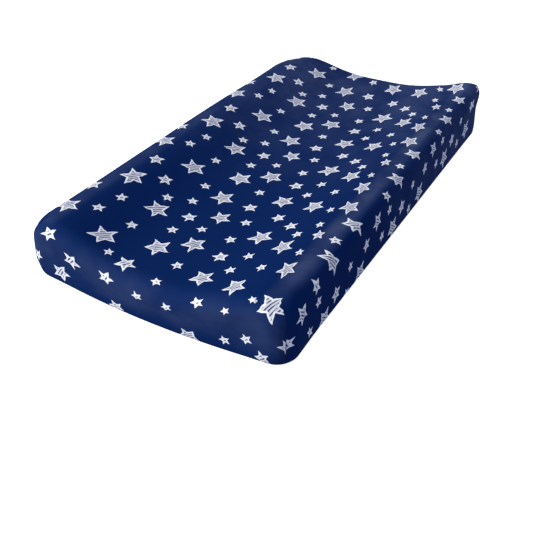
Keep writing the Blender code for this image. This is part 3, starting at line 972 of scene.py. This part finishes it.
def elastic_ring():
    """Woven elastic lying in the hem, slightly gathered."""
    around = Shell(arc=10, ends=120, sides=230)
    rows = []
    for k in range(7):
        inset = ELASTIC_INSET + ELASTIC_W * k / 6
        rows.append(around.plan(inset, CORNER_R + 0.6 * inset))
    n = len(rows[0])
    wave = 0.00010 * np.sin(np.arange(n) * 2 * np.pi / 6.3)
    verts, faces, uvs = [], [], []
    gap = np.linalg.norm(np.roll(rows[0], -1, 0) - rows[0], axis=1)
    run = np.concatenate([[0], np.cumsum(gap)])
    for row in rows:
        verts += [(x, y, ELASTIC_Z + w) for (x, y), w in zip(row, wave)]
    for k in range(6):
        for i in range(n):
            j = (i + 1) % n
            faces.append((k * n + i, k * n + j, (k + 1) * n + j, (k + 1) * n + i))
            a, b = ELASTIC_W * k / 6, ELASTIC_W * (k + 1) / 6
            uvs += [(a, run[i]), (a, run[i + 1]), (b, run[i + 1]), (b, run[i])]
    return verts, faces, uvs


elastic = new_piece("elastic_ring", *elastic_ring(),
                    woven("elastic_rib", (0.84, 0.84, 0.82), (0.94, 0.94, 0.92), 1.0, 0.8, 0.0002,
                          0.8), "cover", "elastic_rubber", "elastic_band")
thicken(elastic, 0.0006)


def label_height(x, y):
    return LABEL_Z + 0.00008 * math.sin((x + HALF_W) * 160) * math.cos((y + 0.2) * 110)


label = new_piece("label_cloth", *sheet_grid(
    [-HALF_W + LABEL_INSET + LABEL_W * k / 16 for k in range(17)],
    [LABEL_Y + LABEL_L * k / 20 for k in range(21)], label_height),
    woven("label_satin_weave", (0.90, 0.90, 0.89), (0.96, 0.96, 0.95), 0.35, 0.35, 0.00003, 0.42,
          0.0, 0.5), "cover", "label_satin", "care_label")
thicken(label, 0.0003)


# ---- metal of the zip ----
def stamped(outlines, low, high, edge=0.00012):
    """Mesh of a plate cut to the outlines (the later ones are holes), with rounded edges."""
    curve = bpy.data.curves.new("plate", "CURVE")
    curve.dimensions = "2D"
    curve.fill_mode = "BOTH"
    for outline in outlines:
        spline = curve.splines.new("POLY")
        spline.points.add(len(outline) - 1)
        for point, (x, y) in zip(spline.points, outline):
            point.co = (x, y, 0.0, 1.0)
        spline.use_cyclic_u = True
    curve.extrude = 0.5 * (high - low) - edge
    curve.bevel_depth = edge
    curve.bevel_resolution = 2
    curve.offset = -edge
    shape = put_in("plate", curve)
    depsgraph = bpy.context.evaluated_depsgraph_get()
    mesh = bpy.data.meshes.new_from_object(shape.evaluated_get(depsgraph))
    mesh.transform(Matrix.Translation((0.0, 0.0, 0.5 * (low + high))))
    bpy.data.objects.remove(shape, do_unlink=True)
    bpy.data.curves.remove(curve)
    return mesh


def rounded(half_x, y0, y1, r, steps=6):
    """Outline of a rounded rectangle."""
    made = []
    for cx, cy, start in ((half_x - r, y0 + r, -90), (half_x - r, y1 - r, 0),
                          (r - half_x, y1 - r, 90), (r - half_x, y0 + r, 180)):
        for k in range(steps + 1):
            t = math.radians(start + 90 * k / steps)
            made.append((cx + r * math.cos(t), cy + r * math.sin(t)))
    return made


def hardware(name, meshes, place, node, body):
    """One piece made of the meshes, set down at place."""
    whole = bmesh.new()
    for mesh in meshes:
        whole.from_mesh(mesh)
        bpy.data.meshes.remove(mesh)
    bmesh.ops.translate(whole, verts=whole.verts[:], vec=place)
    mesh = bpy.data.meshes.new(name)
    whole.to_mesh(mesh)
    whole.free()
    return dress(put_in(name, mesh), metal, body, "zip_metal", node)


metal = metal_finish()
SLIDER_Y = -0.2290
# outlines in millimetres: the slider's two plates, its side flange and the post between
plate = [(-4.5, -4.6), (-4.1, -5.6), (-3.1, -6.0), (-1.7, -5.6), (0.0, -5.0), (1.7, -5.6), (3.1, -6.0),
         (4.1, -5.6), (4.5, -4.6), (4.5, -0.6), (3.9, 2.6), (3.7, 5.2), (3.1, 6.0), (-3.1, 6.0),
         (-3.7, 5.2), (-3.9, 2.6), (-4.5, -0.6)]
flange = [(3.7, -4.4), (4.5, -4.4), (4.5, -0.6), (3.9, 2.6), (3.7, 5.2), (3.1, 5.2), (3.2, 2.4),
          (3.7, -0.8)]
post = [(-0.35, -2.2), (0.0, -2.6), (0.35, -2.2), (0.35, 2.2), (0, 2.6), (-0.35, 2.2)]


def from_mm(outline, side=1):
    return [(0.001 * side * x, 0.001 * y) for x, y in outline]


t = np.linspace(0.0, math.pi, 17)
arch = np.column_stack([np.zeros(17), -0.0021 - 0.00165 * np.cos(t), 0.0019 - 0.00149 * np.sin(t)])
verts, faces, _ = tube(arch, 0.00027, (1, 0, 0), 12, flat=2.6)
bridge = bpy.data.meshes.new("bridge")
bridge.from_pydata([tuple(v) for v in verts], [], faces)
hardware("slider_body", [
    stamped([from_mm(plate)], 0.0017, 0.0024), stamped([from_mm(plate)], 0.0050, 0.0057),
    stamped([from_mm(flange)], 0.0021, 0.0034),
    stamped([from_mm(flange, -1)[::-1]], 0.0021, 0.0034),
    stamped([from_mm(post)], 0.0020, 0.0054, 0.00005), bridge],
    (ZIP_X, SLIDER_Y, 0.0), "zip_slider", "zip_slider")
window = rounded(0.0014, 0.00026, 0.0070, 0.0007)
hardware("tab_plate", [
    stamped([rounded(0.0025, -0.00026, 0.0220, 0.0012), window,
             rounded(0.0017, 0.0085, 0.0206, 0.0011)], -0.00032, 0.00032),
    stamped([rounded(0.0020, 0.0080, 0.0211, 0.0010)], -0.00020, 0.00020, 0.00005)],
    (ZIP_X, SLIDER_Y - 0.0021, 0.00106), "zip_pull_tab", "zip_pull_tab")
for end, y in (("top", -ZIP_HALF - 0.0020), ("bottom", ZIP_HALF + 0.0020)):
    hardware("stop_" + end, [stamped([rounded(0.0028, -0.0015, 0.0015, 0.0006)], 0.0027, 0.0037,
                                     0.0003)], (ZIP_X, y, 0.0), "zip_stop_" + end, "pad")


# ---- floor, light, camera ----
def stage_floor():
    mesh = bpy.data.meshes.new("floor")
    mesh.from_pydata([(-6, -6, 0), (6, -6, 0), (6, 6, 0), (-6, 6, 0)], [], [(0, 1, 2, 3)])
    floor = put_in("floor", mesh)
    floor.location.z = cad_low.z - 0.0002
    net = Net("floor_white")
    net.shader(Base_Color=(0.9, 0.9, 0.9, 1.0), Roughness=0.9, Specular_IOR_Level=0.0,
               Emission_Color=(1.0, 1.0, 1.0, 1.0), Emission_Strength=0.80)
    mesh.materials.append(net.mat)
    floor.visible_diffuse = False
    floor.visible_glossy = False


def area_light(name, place, aim, size, power, colour):
    data = bpy.data.lights.new(name, "AREA")
    data.shape = "DISK"
    data.size = size
    data.energy = power
    data.color = colour
    lamp = put_in(name, data)
    lamp.location = place
    lamp.rotation_euler = (Vector(place) - Vector(aim)).to_track_quat("Z", "Y").to_euler()


def studio():
    """A soft key from the left, a weak fill from the right, and a white backdrop."""
    world = bpy.data.worlds.new("studio")
    world.use_nodes = True
    nodes, links = world.node_tree.nodes, world.node_tree.links
    back = nodes["Background"]
    path = nodes.new("ShaderNodeLightPath")
    tint = nodes.new("ShaderNodeMix")
    tint.data_type = "RGBA"
    tint.inputs[6].default_value = (0.252, 0.292, 0.45, 1.0)
    tint.inputs[7].default_value = (1.0, 1.0, 1.0, 1.0)
    links.new(path.outputs["Is Camera Ray"], tint.inputs[0])
    links.new(tint.outputs[2], back.inputs["Color"])
    bpy.context.scene.world = world
    area_light("key", (-4.18, -3.72, 2.85), (0, 0, 0.05), 2.3, 465, (1.0, 0.98, 0.88))
    area_light("fill", (3.0, -1.5, 3.6), (0, 0, 0.05), 2.5, 45, (1.0, 0.96, 0.84))


def camera():
    """The photograph's view, as fitted to the pad's outline."""
    yaw, pitch = math.radians(29.904), math.radians(34.056)
    distance, aside, below = 1.3256, 0.0377, 0.0762
    forward = Vector((-math.sin(yaw) * math.cos(pitch), math.cos(yaw) * math.cos(pitch),
                      -math.sin(pitch)))
    right = Vector((math.cos(yaw), math.sin(yaw), 0.0))
    up = right.cross(forward)
    place = -forward * distance - right * aside - up * below
    data = bpy.data.cameras.new("camera")
    data.sensor_width = 36.0
    data.lens = 51.49
    data.shift_x = -0.001
    data.shift_y = -0.0604
    data.clip_end = 50.0
    cam = put_in("camera", data)
    turn = Matrix((right, up, -forward)).transposed()
    cam.matrix_world = Matrix.Translation(place) @ turn.to_4x4()
    bpy.context.scene.camera = cam


stage_floor()
studio()
camera()
bpy.context.scene.view_settings.view_transform = "Standard"
